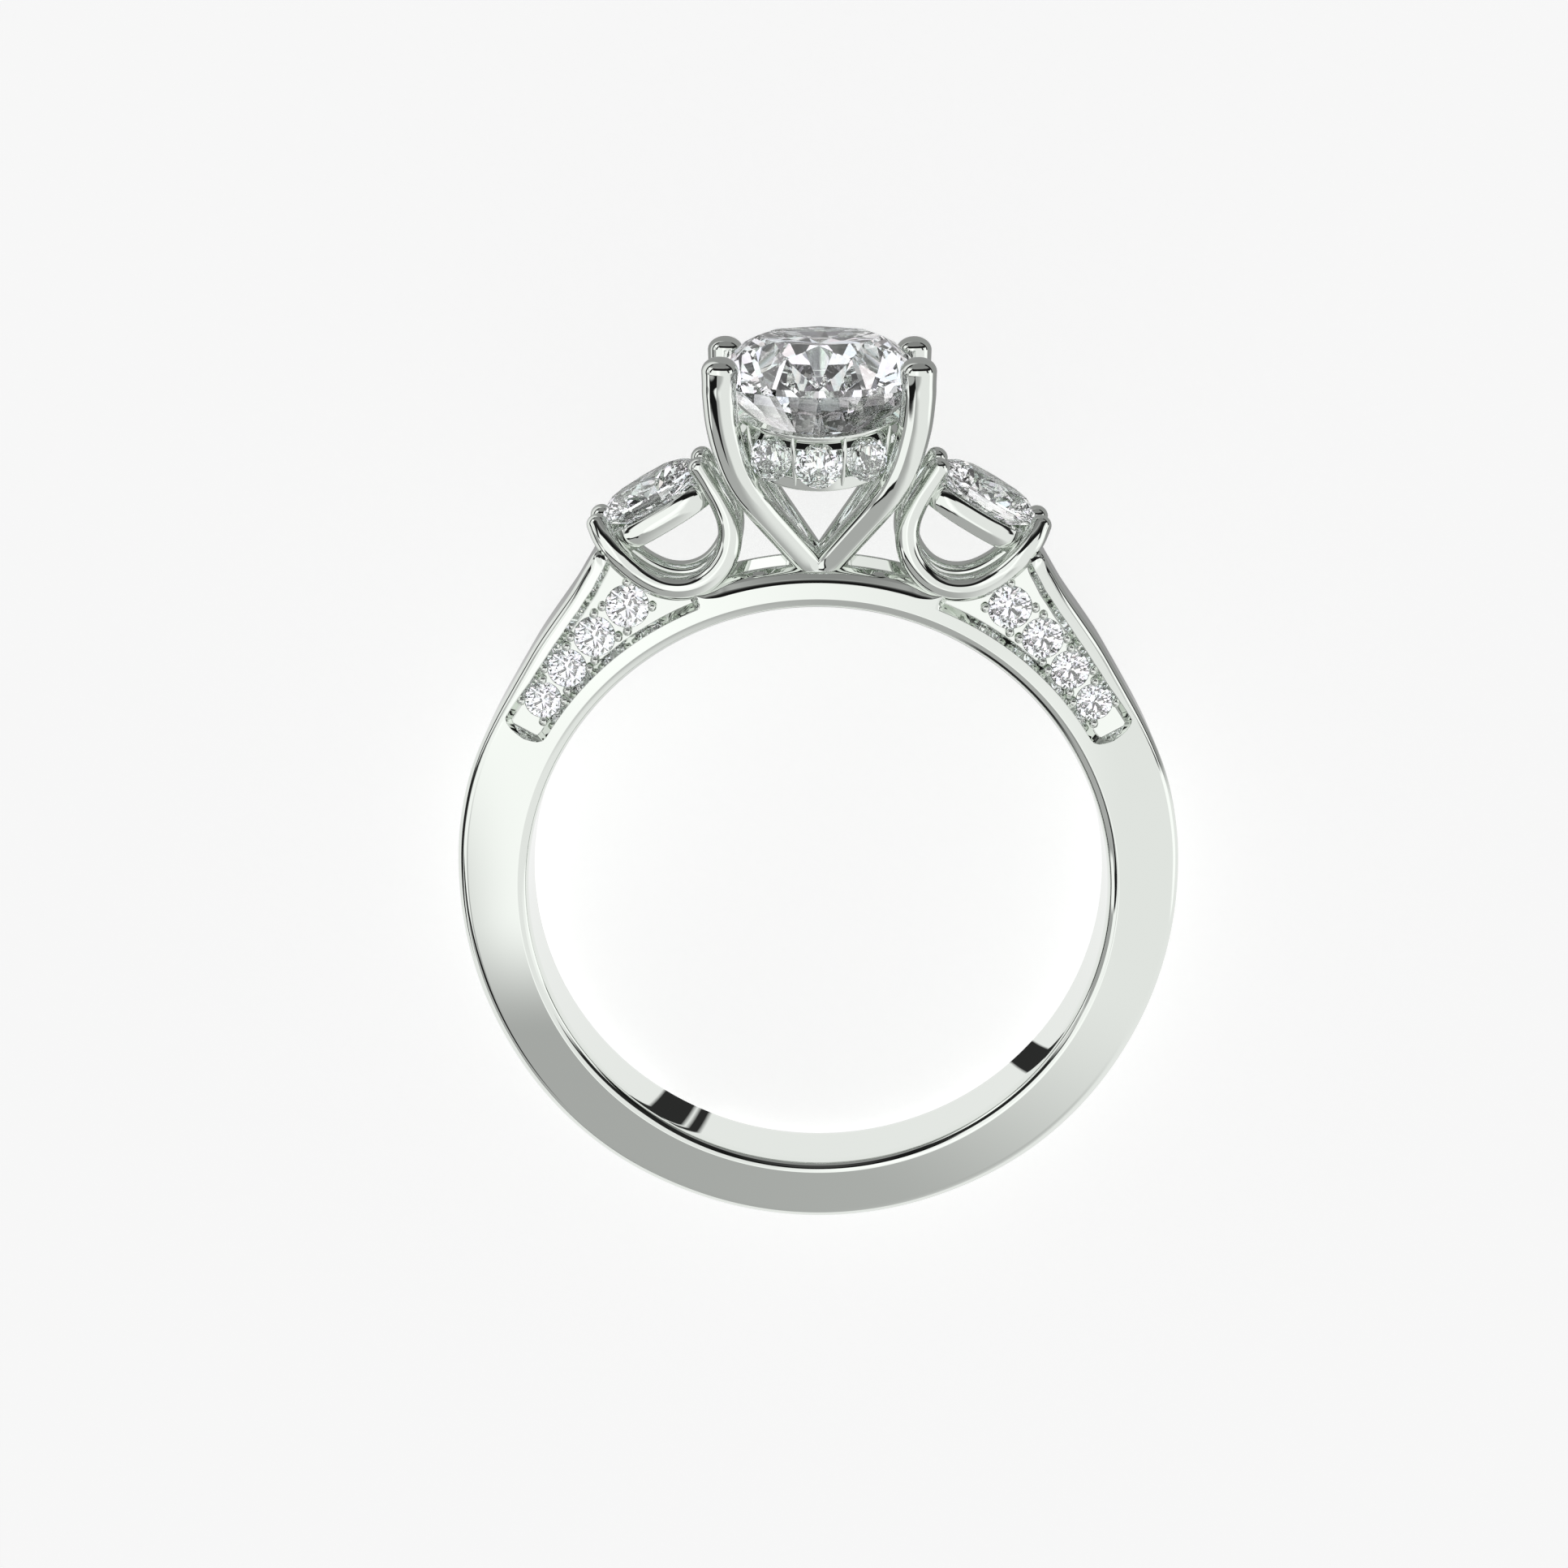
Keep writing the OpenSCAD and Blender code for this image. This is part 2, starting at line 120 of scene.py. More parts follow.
# %% Grids to meshes
def grid(points, wrap_rows=False):
    """Faces of a grid (rows, columns): columns close on themselves; rows do too, or caps close the ends."""
    m, n = points.shape[:2]
    i = np.arange(m if wrap_rows else m - 1)[:, None]
    j = np.arange(n)[None, :]
    low, up = i * n, (i + 1) % m * n
    faces = np.stack([low + j, low + (j + 1) % n, up + (j + 1) % n, up + j], -1).reshape(-1, 4)
    flat = points.reshape(-1, 3)
    if not wrap_rows:
        k = np.arange(n)
        after = (k + 1) % n
        top = (m - 1) * n
        ends = np.array([points[0].mean(0), points[-1].mean(0)])
        first = np.stack([np.full(n, m * n), after, k, k], -1)
        last = np.stack([np.full(n, m * n + 1), top + k, top + after, top + after], -1)
        flat, faces = np.vstack([flat, ends]), np.vstack([faces, first, last])
    return outward(flat, faces)


def outward(points, faces):
    """Six times the volume is the sum of a.(b x c) over the triangles; below 0 the faces turn round."""
    a, b, c, d = (points[faces[:, k]] for k in range(4))
    first, second = np.cross(b, c), np.cross(c, d)
    six_volumes = (np.einsum("ij,ij->i", a, first) + np.einsum("ij,ij->i", a, second)).sum()
    return points, faces if six_volumes > 0 else faces[:, ::-1]


def mirrored(part, axis):
    """The same part on the other side of a plane through the origin."""
    points = part[0].copy()
    points[:, axis] *= -1
    return outward(points, part[1])


def four_ways(part):
    """The part and its mirror images: right and left, front and back."""
    return [part, mirrored(part, 0), mirrored(part, 1), mirrored(mirrored(part, 0), 1)]


# Edges that bend by more than this stay sharp
SHARP = math.radians(33)


def piece(name, parts, finish):
    """One object from several grids, laid down and riding on the ring."""
    at, points, faces = 0, [], []
    for p, f in parts:
        points.append(laid(p))
        faces += [tuple(dict.fromkeys(q)) for q in (f + at).tolist()]
        at += len(p)
    mesh = bpy.data.meshes.new(name)
    mesh.from_pydata(np.vstack(points).tolist(), [], faces)
    mesh.polygons.foreach_set("use_smooth", np.full(len(faces), True))
    mesh.materials.append(finish)
    mesh.validate()
    mesh.set_sharp_from_angle(angle=SHARP)
    obj = bpy.data.objects.new(name, mesh)
    bpy.context.scene.collection.objects.link(obj)
    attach(obj, "root")
    print(name, "faces:", len(faces))
    return obj


# %% [markdown]
# Colours are written as the hex codes that a picture editor shows. Blender's shaders want linear light, so
# one function converts them, and one more adds a node and sets its sockets.


# %% Colour and nodes
def colour(code):
    """Linear red, green, blue of a hex code: c/12.92 below 0.04045, else ((c + 0.055)/1.055)^2.4."""
    c = np.array([int(code[k : k + 2], 16) for k in (1, 3, 5)]) / 255
    return (*np.where(c <= 0.04045, c / 12.92, ((c + 0.055) / 1.055) ** 2.4), 1.0)


def add(tree, kind, **sockets):
    """A node of that kind; names in capitals are sockets, with _ for a space, the others properties."""
    node = tree.nodes.new("ShaderNode" + kind)
    for key, value in sockets.items():
        if key[0].isupper():
            socket = node.inputs[key.replace("_", " ")]
            if isinstance(value, bpy.types.NodeSocket):
                tree.links.new(value, socket)
            else:
                socket.default_value = value
        else:
            setattr(node, key, value)
    return node


def material(name):
    """A new node material, its tree and its Principled shader."""
    m = bpy.data.materials.new(name)
    m.use_nodes = True
    return m, m.node_tree, m.node_tree.nodes["Principled BSDF"]


print("mid grey #808080 in linear light:", round(float(colour("#808080")[0]), 3))

# %% [markdown]
# Polished white gold is a pale grey mirror with a faint green cast where it mirrors itself in recesses.
# The polish is never quite even: a fine noise lets the roughness vary a little, and a second one makes
# the softest waves in the surface, as a polishing wheel leaves them.

# %% White gold
# A noise's scale is its number of patches in a metre. The wheel's own marks are too fine to show, so
# patches of 1.1 mm, nine to the centimetre, stand for them. The waves are 6.7 mm long.
PER_CM = 100.0
white_gold, tree, shader = material("white_gold")
place = add(tree, "TexCoord")
wheel = add(tree, "TexNoise", Vector=place.outputs["Object"], Scale=9 * PER_CM, Detail=3.0)
rough = add(tree, "MapRange", Value=wheel.outputs["Fac"], To_Min=0.008, To_Max=0.03)
waves = add(tree, "TexNoise", Vector=place.outputs["Object"], Scale=1.5 * PER_CM, Detail=0.0)
bump = add(tree, "Bump", Height=waves.outputs["Fac"], Strength=0.006, Distance=0.0001)
shader.inputs["Base Color"].default_value = colour("#e6eae5")
shader.inputs["Metallic"].default_value = 1.0
tree.links.new(rough.outputs["Result"], shader.inputs["Roughness"])
tree.links.new(bump.outputs["Normal"], shader.inputs["Normal"])
print("nodes in the white gold:", len(tree.nodes))

# %% [markdown]
# The stones are clear and bend light strongly: an index of refraction of 2.42 makes the facets flash white
# and dark side by side. The CAD stones already have their table, stars, kites and girdle facets, so they
# stay, and only get this finish. A trace of colour that changes from place to place is painted fire: it
# stands in the stones' own colour for the flashes of split light.

# %% Clear stones
clear_stone, tree, shader = material("clear_stone")
place = add(tree, "TexCoord")
# Patches of 0.7 mm, several on each large stone
fire = add(tree, "TexNoise", Vector=place.outputs["Object"], Scale=15 * PER_CM, Detail=0.0)
# Sockets 6 and 7 of a Mix node are its two colours, and its output 2 is the mixed one
# Painted fire: 7 percent of the noise's colour tints the stones' base colour
painted_fire = add(tree, "Mix", data_type="RGBA", Factor=0.07)
painted_fire.inputs[6].default_value = colour("#ffffff")
tree.links.new(fire.outputs["Color"], painted_fire.inputs[7])
tree.links.new(painted_fire.outputs[2], shader.inputs["Base Color"])
shader.inputs["Roughness"].default_value = 0.0
shader.inputs["IOR"].default_value = 2.42
shader.inputs["Transmission Weight"].default_value = 1.0

stones = [o for n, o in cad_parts.items() if n != "ring_metal"]
for stone in stones:
    stone.data.materials.clear()
    stone.data.materials.append(clear_stone)
print("stones:", len(stones))

# %% [markdown]
# The band is one closed skin: at every angle round the finger it has a cross-section, a loop of corners.
# Each has a distance from the middle of the bore and a place along the finger. Bevels run along both
# edges. On the shoulders four corners of each face form the channel for the small stones, and under the
# head another four form the groove between the two rails of the bridge. Each corner is rounded by a short
# curve, because a real edge is never razor sharp and its thin highlight is what makes metal look solid.

# %% Outline of the band
# Angle from the bottom in degrees, and height beyond the band's thickness
outline = np.array([
    [0, 0], [20, 0], [40, 0.045], [60, 0.06], [75, 0.12], [90, 0.232], [101, 0.36], [112, 0.45],
    [118, 0.46], [123, 0.49], [127.5, 0.57], [132.5, 0.73], [137.4, 0.91], [141.5, 1.12], [145.8, 1.49],
    [147.6, 1.67], [149, 1.72],
])
# The same beyond the shoulder's tip, but the height is over the bore
saddle = np.array([
    [149.8, 3.5], [150.3, 2.95], [151.3, 2.28], [153.3, 1.72], [155.9, 1.41], [158.5, 1.29], [160.5, 1.25],
    [180, 1.25],
])
outline[:, 1] += BAND_T
outline = np.vstack([outline, saddle])


def smooth(x, xs, ys):
    """A cubic through the table's points: slopes are the harmonic mean of both sides, or level at a turn."""
    h, rise = np.diff(xs), np.diff(ys)
    s = rise / h
    mean = 2 * s[1:] * s[:-1] / (s[1:] + s[:-1] + 1e-12)
    m = np.concatenate([[s[0]], np.where(s[1:] * s[:-1] > 0, mean, 0), [s[-1]]])
    k = np.clip(np.searchsorted(xs, x) - 1, 0, len(h) - 1)
    t = (x - xs[k]) / h[k]
    return (
        ys[k] * (1 + 2 * t) * (1 - t) ** 2 + ys[k + 1] * t * t * (3 - 2 * t)
        + h[k] * t * (1 - t) * (m[k] * (1 - t) - m[k + 1] * t)
    )


def ramp(x, a, b):
    """0 before a, 1 after b, and an S-curve t^2 (3 - 2t) in between."""
    t = np.clip((x - a) / (b - a), 0, 1)
    return t * t * (3 - 2 * t)


# Stations in degrees, closest at the channel's lower end and from the shoulder's tip to the bridge
half_turn = np.unique(np.round(np.concatenate([
    np.arange(0, 117, 1.25), np.arange(117, 122, 0.12), np.arange(122, 147, 0.5), np.arange(147, 162, 0.18),
    np.arange(162, 180.01, 0.5),
]), 3))
print("stations on half a turn:", len(half_turn))

# %% [markdown]
# The channel starts at its rounded lower end, 118.7 degrees up from the bottom, widens towards the head and
# runs out where the shoulder dips under the basket. Its walls, the rim's bevel and the rounding of the
# bridge all change with the angle, so each is one array with a value for every station.

# %% Channel, rim and groove
CHANNEL_START, CHANNEL_DEPTH, GROOVE_DEPTH, WALL = 118.7, 0.3, 0.42, 0.2
a = half_turn
outer = BORE + smooth(a, outline[:, 0], outline[:, 1])
# Angle and height over the bore of the channel's outer and inner edge
edge_out = np.array([
    [CHANNEL_START, 1.3], [118.9, 1.5], [119.2, 1.7], [119.7, 1.88], [120.3, 1.99], [123.6, 1.98],
    [127.2, 1.97], [131.6, 2.06], [136.2, 2.21], [140.9, 2.43], [144.6, 2.68], [147.6, 3], [149.8, 3.3],
    [180, 3.3],
])
edge_in = np.array([
    [CHANNEL_START, 1.2], [118.9, 1.0], [119.3, 0.82], [120, 0.7], [121, 0.66], [180, 0.66],
])
channel_out = BORE + np.interp(a, edge_out[:, 0], edge_out[:, 1])
# The outer edge grows rounder where the bridge begins, and its bevel is narrower on the way there
round_top = ramp(a, 156, 163)
rim = RIM - 0.1 * ramp(a, 146, 148) * (1 - ramp(a, 157, 160))
channel_out = np.minimum(channel_out, outer - rim - 0.02 - 0.28 * round_top)
channel_in = BORE + np.where(a < CHANNEL_START, 1.2, np.interp(a, edge_in[:, 0], edge_in[:, 1]))
depth = CHANNEL_DEPTH * np.clip((a - CHANNEL_START) / 1.1, 0, 1) * (1 - ramp(a, 157.2, 158.6))
wall = np.minimum(WALL, 0.42 * (channel_out - channel_in))
wall_out = wall * (1 - 0.5 * ramp(a, 148, 149.5))
# The outer edge draws in at the shoulder's tip, and the groove ends before the feet of the claws
taper = 0.3 * ramp(a, 147.4, 149.7) * (1 - ramp(a, 150, 153))
groove = GROOVE_DEPTH * ramp(a, 160.9, 161.7) * (1 - ramp(a, 174, 174.8))
print("widest part of the channel in mm:", round(float((channel_out - channel_in)[depth > 0].max()), 2))


def floor(r):
    """How far the channel's floor lies from the band's middle: half the width less the depth, and rising
    by 0.15 of that depth for each millimetre outwards."""
    return HALF - depth + 0.15 * depth * (r - BORE - 1.35)


# %% Corners of the cross-section
def side(y):
    """Corners of one face from the bore out, each a radius, a depth and a rounding; y is -1 in front."""
    one = np.ones_like(a)
    low_in, low_out = channel_in + wall, channel_out - wall_out
    return [
        (BORE * one, y * (HALF - 0.34) * one, 0.1),
        ((BORE + 0.05) * one, y * (HALF - 0.13) * one, 0.07),
        ((BORE + 0.24) * one, y * HALF * one, 0.07),
        (channel_in, y * HALF * one, 0.015),
        (low_in, y * floor(low_in), 0.03),
        (low_out, y * floor(low_out), 0.03),
        (channel_out, y * HALF * one, 0.015),
        (outer - rim - 0.28 * round_top, y * (HALF - taper), 0.1),
        (outer - 0.72 * rim - 0.246 * round_top, y * (HALF - 0.24 * rim + 0.008 * round_top - taper), 0.05),
        (outer - 0.45 * rim - 0.08 * round_top, y * (HALF - 0.45 * rim - 0.1 * round_top - taper), 0.06),
        (outer, y * (HALF - rim - 0.18 * round_top - taper), 0.06),
        (outer, y * 0.8 * one, 0.02),
        (outer - groove, y * (0.8 - 0.28 * groove), 0.03),
    ]


def rounded(c, r):
    """Each corner c becomes a curve (1-t)^2 p + 2t(1-t) c + t^2 q between places p and q, r before and after
    it, with one more point on each side that lies 0.2 of the way further out."""
    before, after = np.roll(c, 1, 1) - c, np.roll(c, -1, 1) - c
    lb, la = np.linalg.norm(before, axis=-1), np.linalg.norm(after, axis=-1)
    db, da = np.minimum(r, 0.4 * lb), np.minimum(r, 0.4 * la)
    p = c + before / np.maximum(lb, 1e-9)[..., None] * db[..., None]
    q = c + after / np.maximum(la, 1e-9)[..., None] * da[..., None]
    bend = [(1 - t) ** 2 * p + 2 * t * (1 - t) * c + t * t * q for t in (0, 0.33, 0.67, 1)]
    rows = [p + 0.2 * (p - c)] + bend + [q + 0.2 * (q - c)]
    return np.stack(rows, 2).reshape(c.shape[0], -1, 2)


corners = side(-1) + side(1)[::-1]
section = np.stack([np.stack([r, y], -1) for r, y, _ in corners], 1)
radius = np.stack([np.broadcast_to(q, a.shape) for _, _, q in corners], 1)
section = rounded(section, radius)
print("points in a cross-section:", section.shape[1])

# %% Carry the cross-section round the finger
whole = np.concatenate([a, 360 - a[-2:0:-1]])
loop = np.concatenate([section, section[-2:0:-1]])
angle = np.radians(whole)[:, None]
band_points = np.stack([loop[..., 0] * np.sin(angle), loop[..., 1], -loop[..., 0] * np.cos(angle)], -1)
band = piece("band", [grid(band_points, wrap_rows=True)], white_gold)
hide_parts("ring_metal")

# %% [markdown]
# Every shoulder stone hangs in a cup drilled into the channel's floor. The drill is a ring of points
# carried down a profile: straight beside the girdle, then narrowing with the stone's pavilion. Sixteen of
# them are taken out of the band by one Boolean modifier, which is applied at once and leaves clean rims.

# %% Drill the seats
# Angle from the bottom, height over the bore and diameter of each stone, from the head down
pave = np.array([[147.3, 1.66, 1.28], [139.9, 1.5, 1.2133], [132.8, 1.38, 1.1467], [125.9, 1.33, 1.08]])
where, height = np.radians(pave[:, 0]), BORE + pave[:, 1]
girdle_y = np.full(len(pave), -(HALF - CHANNEL_DEPTH))
centres = np.stack([height * np.sin(where), girdle_y, -height * np.cos(where)], -1)
SEAT_GAP = 0.012
turn = np.linspace(0, 2 * np.pi, 40, endpoint=False)
drills = []
for centre, size in zip(centres, pave[:, 2]):
    # Radius and depth at the drill's start, at its shoulder and at its tip
    r = np.array([1.0, 1.0, 0.1])[:, None] * (size / 2 + SEAT_GAP)
    deep = np.array([-0.5, 0.03 * size, 0.5 * size + 0.03])[:, None]
    cup = np.stack([r * np.cos(turn), deep + 0 * turn, r * np.sin(turn)], -1) + centre
    drills += four_ways(grid(cup))
drill_piece = piece("drill", drills, white_gold)
cut = band.modifiers.new("seats", "BOOLEAN")
cut.object, cut.operation, cut.solver = drill_piece, "DIFFERENCE", "MANIFOLD"
drilled = bpy.data.meshes.new_from_object(band.evaluated_get(bpy.context.evaluated_depsgraph_get()))
band.modifiers.clear()
band.data = drilled
band.data.set_sharp_from_angle(angle=SHARP)
bpy.data.objects.remove(drill_piece)
print("band after drilling:", len(band.data.polygons), "faces")

# %% [markdown]
# Claws and baskets are bent wire. A wire is a rounded section carried along a smooth path, growing and
# shrinking on the way, with a dome on each end where the setter has rounded it off. One function makes
# them all.


# %% Wire along a path
def path(table, steps):
    """Points on the curve through the table: b + f(c-a)/2 + f^2(2a-5b+4c-d)/2 + f^3(3b-a-3c+d)/2."""
    table = np.asarray(table, float)
    u = np.linspace(0, len(table) - 1, (len(table) - 1) * steps + 1)
    i = np.minimum(u.astype(int), len(table) - 2)
    f = (u - i)[:, None]
    a, b, c, d = (table[np.clip(i + k, 0, len(table) - 1)] for k in (-1, 0, 1, 2))
    return b + f / 2 * (c - a) + f**2 / 2 * (2 * a - 5 * b + 4 * c - d) + f**3 / 2 * (3 * b - a - 3 * c + d)


def squared(t, power):
    """Both coordinates of the rounded square |x|^p + |y|^p = 1; a power of 2 is a circle."""
    c, s = np.cos(t), np.sin(t)
    return np.sign(c) * np.abs(c) ** (2 / power), np.sign(s) * np.abs(s) ** (2 / power)


def wire(table, steps=10, around=28, power=2.0, dome=(0.9, 0.9), across=(0, 1, 0)):
    """A section |x|^p + |y|^p = r^p carried along x, y, z over the bore, with domes of r cos(b), r sin(b)."""
    line = path(table, steps)
    centre, size = line[:, :3] + [0, 0, BORE], line[:, 3]
    along = np.gradient(centre, axis=0)
    along /= np.linalg.norm(along, axis=1)[:, None]
    b = np.radians(np.arange(8, 90, 8))
    n = len(b)
    centre, along, size = (
        np.concatenate([k[:1].repeat(n, 0), k, k[-1:].repeat(n, 0)]) for k in (centre, along, size)
    )
    grow = np.concatenate([np.cos(b[::-1]), np.ones(len(line)), np.cos(b)]) * size
    starts, ends = -dome[0] * size[0] * np.sin(b[::-1]), dome[1] * size[-1] * np.sin(b)
    centre = centre + np.concatenate([starts, np.zeros(len(line)), ends])[:, None] * along
    x = np.cross(np.asarray(across, float), along)
    x /= np.linalg.norm(x, axis=1)[:, None]
    y = np.cross(along, x)
    c, s = squared(np.linspace(0, 2 * np.pi, around, endpoint=False), power)
    ring = c[None, :, None] * x[:, None] + s[None, :, None] * y[:, None]
    return grid(centre[:, None] + grow[:, None, None] * ring)


# %% Four centre claws
# Places x, y, z over the bore, and radius, from the foot up
claw_table = [
    [0.17, -0.74, 1.14, 0.41], [0.45, -0.83, 1.5, 0.43], [1.04, -1.28, 2.26, 0.435], [1.7, -1.8, 3.12, 0.44],
    [2.12, -2, 3.72, 0.455], [2.45, -2.1, 4.45, 0.47], [2.71, -2.2, 5.45, 0.485], [2.8, -2.28, 6.3, 0.495],
    [2.8, -2.316, 6.75, 0.505], [2.79, -2.34, 7.05, 0.525],
]
claw = wire(claw_table, steps=9, around=36, power=2.35, dome=(0.9, 0.78))
claws = piece("claws", four_ways(claw), white_gold)

# %% [markdown]
# A side stone sits in two U-shaped wire loops, one in front and one behind, whose four tips curl over it.
# Between them runs a flat rail, a small hoop of sheet metal that leans out as far as the stone does.

# %% Side baskets
# Places x, y, z over the bore, and radius, from the outer tip round to the inner one
loop_table = [
    [6.44, -0.74, 2.4, 0.32], [6.22, -0.94, 1.99, 0.34], [5.83, -1.06, 1.5, 0.36], [5.3, -1.05, 1.02, 0.36],
    [4.7, -1.06, 0.68, 0.37], [4.14, -1.08, 0.57, 0.37], [3.6, -1.08, 0.65, 0.37], [3.12, -1.07, 0.93, 0.37],
    [2.74, -1.05, 1.42, 0.37], [2.58, -1.02, 1.97, 0.36], [2.6, -0.99, 2.5, 0.35], [2.82, -0.96, 3.05, 0.33],
    [3.14, -0.93, 3.58, 0.31], [3.47, -0.92, 4.1, 0.32],
]
front_loop = wire(loop_table, steps=8, around=30)
SIDE_LEAN, SIDE_X, SIDE_Z = math.radians(31), 4.93, BORE + 3.215


def leaned(p):
    """From the side stone's own frame to the upright ring: turned by 31 degrees about y, then moved out."""
    c, s = math.cos(SIDE_LEAN), math.sin(SIDE_LEAN)
    x, y, z = p[..., 0], p[..., 1], p[..., 2]
    return np.stack([SIDE_X + x * c + z * s, y, SIDE_Z - x * s + z * c], -1)


def rail(rx, ry, low, top, thick, bulge=0.1, inset=0.07, rise=0.07, around=120):
    """A rounded rectangle |x/rx|^p + |y/ry|^p = 1; its face bulges as 1 - v^2 and its ends rise as x^2."""
    c, s = squared(np.linspace(0, 2 * np.pi, around, endpoint=False)[:, None], 3.6)
    v = np.linspace(-1, 1, 9)
    face = np.stack([bulge * (1 - v * v) - inset, (low + top) / 2 + v * (top - low) / 2], -1)
    profile = np.vstack([[-thick, low + 0.04], face, [-thick, top + 0.02]])[None]
    profile = rounded(profile, np.full((1, len(profile[0])), 0.03))
    out, z = profile[..., 0], profile[..., 1]
    return grid(leaned(np.stack([(rx + out) * c, (ry + out) * s, z + rise * c * c], -1)), wrap_rows=True)


side_rail = rail(rx=1.66, ry=1.05, low=-1.16, top=-0.45, thick=0.34)
basket = [front_loop, mirrored(front_loop, 1), side_rail]
baskets = piece("baskets", basket + [mirrored(part, 0) for part in basket], white_gold)

# %% [markdown]
# Under the oval stone runs a gallery: a thin hoop of metal, a little higher than the small stones set in
# it. Seen from the front it has a top rail, a bottom rail and fine upright bars between the stones, with
# dark gaps above.

# %% Gallery hoop
# Half axes, middle and height of the hoop, then its flare at the top and its rise towards the sides
GAL_X, GAL_Y, GAL_Z, GAL_H = 2.7, 2.85, BORE + 4.5, 1.6
GAL_FLARE, GAL_RISE = 0.16, 0.075


def on_gallery(turn, out, h):
    """Places on the oval hoop: (2.7 sin a, -2.85 cos a), pushed along its normal, flaring and rising."""
    x, y = GAL_X * np.sin(turn), -GAL_Y * np.cos(turn)
    n = np.stack([x / GAL_X**2, y / GAL_Y**2], -1)
    n /= np.linalg.norm(n, axis=-1)[..., None]
    push = out + GAL_FLARE * h / (GAL_H / 2)
    return np.stack([x + push * n[..., 0], y + push * n[..., 1], GAL_Z + GAL_RISE * x**2 + h], -1)


def profiled(points, bend, around=180):
    """Any closed profile of (push, height) pairs with rounded corners, carried round the hoop."""
    turn = np.linspace(0, 2 * np.pi, around, endpoint=False)[:, None]
    profile = rounded(np.array([points], float), np.full((1, len(points)), bend))
    out, h = profile[..., 0] + 0 * turn, profile[..., 1] + 0 * turn
    return grid(on_gallery(turn + 0 * out, out, h), wrap_rows=True)


def strip(low, top, inner, outside):
    """A strip of the given heights and pushes."""
    return profiled([[inner, low], [outside, low], [outside, top], [inner, top]], 0.05)


# %% Gallery rails and bars
top_rail, bottom_rail = strip(0.67, 0.8, -0.5, 0.0), strip(-0.8, -0.42, -0.5, 0.0)
back_wall = strip(-0.6, 0.7, -0.55, -0.42)
cove = profiled([[-0.5, 0.4], [-0.02, 0.4], [-0.17, 0.64], [-0.17, 0.7], [-0.5, 0.7]], 0.015)
gallery_parts = [top_rail, bottom_rail, back_wall, cove]
# Angles of the bars, from the front round by the right; each bar is a thin spindle
bars = np.radians([-45, -15, 15, 45, 60, 90, 120, 135, 165, 195, 225, 240, 270, 300])
for turn in bars:
    h = np.linspace(-0.66, 0.72, 5)
    centre = on_gallery(np.full(5, turn), np.full(5, 0.01), h) - [0, 0, BORE]
    table = np.column_stack([centre, [0.03, 0.08, 0.095, 0.08, 0.03]])
    gallery_parts.append(wire(table, steps=2, around=12, dome=(0.5, 0.5), across=(0.3, 1, 0.1)))
gallery = piece("gallery", gallery_parts, white_gold)

# %% [markdown]
# The shoulder stones are held by beads: four curls of metal raised beside each stone and pressed over its
# edge. They are small domes of 84 faces, made once and put at every place.

# %% Beads on the shoulders
# Radius of a bead, and how far its middle lies from the stone's edge and in front of the girdle
BEAD, BEAD_AWAY, BEAD_OUT = 0.14, 0.09, 0.12
u, v = np.meshgrid(np.linspace(0, 2 * np.pi, 12, endpoint=False), np.radians([8, 28, 50, 70, 90, 115]))
dome = BEAD * np.stack([np.sin(v) * np.cos(u), -np.cos(v), np.sin(v) * np.sin(u)], -1)
beads = []
for centre, size in zip(centres, pave[:, 2]):
    away = size / 2 + BEAD_AWAY
    for dx, dz in ((1, 0), (0, 1), (-1, 0), (0, -1)):
        beads += four_ways(grid(dome + centre + [dx * away, -BEAD_OUT, dz * away]))
bead_piece = piece("shoulder_beads", beads, white_gold)
for metal in (claws, baskets, gallery, bead_piece):
    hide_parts("ring_metal")

# %% [markdown]
# The studio needs some arithmetic in its nodes, for the table and for the tent alike. These helpers work in
# the tree at hand: one fades between two values, one calculates, and one lets rays of some kinds see
# another light than the rest.


# %% Helpers for light
def step(value, low, high, bottom=0.0, top=1.0, curve="SMOOTHSTEP"):
    """Goes from bottom to top while the value goes from low to high."""
    limits = dict(From_Min=low, From_Max=high, To_Min=bottom, To_Max=top)
    return add(tree, "MapRange", interpolation_type=curve, Value=value, **limits).outputs["Result"]


def reckon(operation, first, second=0.0):
    """One sum, product or other function of one or two values."""
    node = add(tree, "Math", operation=operation)
    for socket, value in zip(node.inputs, (first, second)):
        if isinstance(value, bpy.types.NodeSocket):
            tree.links.new(value, socket)
        else:
            socket.default_value = value
    return node.outputs[0]


def seen_by(shown, others):
    """Another shader for rays of some kinds; where two kinds fit, the later one counts."""
    kinds = add(tree, "LightPath")
    for kind, other in others:
        pick = add(tree, "MixShader", Fac=kinds.outputs[kind])
        tree.links.new(shown, pick.inputs[1])
        tree.links.new(other, pick.inputs[2])
        shown = pick.outputs["Shader"]
    return shown


# %% [markdown]
# The studio is a white table under a wide soft light tent. The table gives most of its light by itself, as
# a lit acrylic sheet does, and that keeps the ring's shadow pale. A real stone mirrors a whole dark room
# between its facets. Here there is only the table below, so a ray that comes through a stone sees it in
# light and dark fields of one to two centimetres, and the stone keeps its contrast. A mirrored ray sees a
# grey card under the ring's head and north of it, which draws the tops of the claws and wires against the
# bright table, and three narrow dark cards inside the bore, like spokes, which draw the dark reflections
# on its wall.

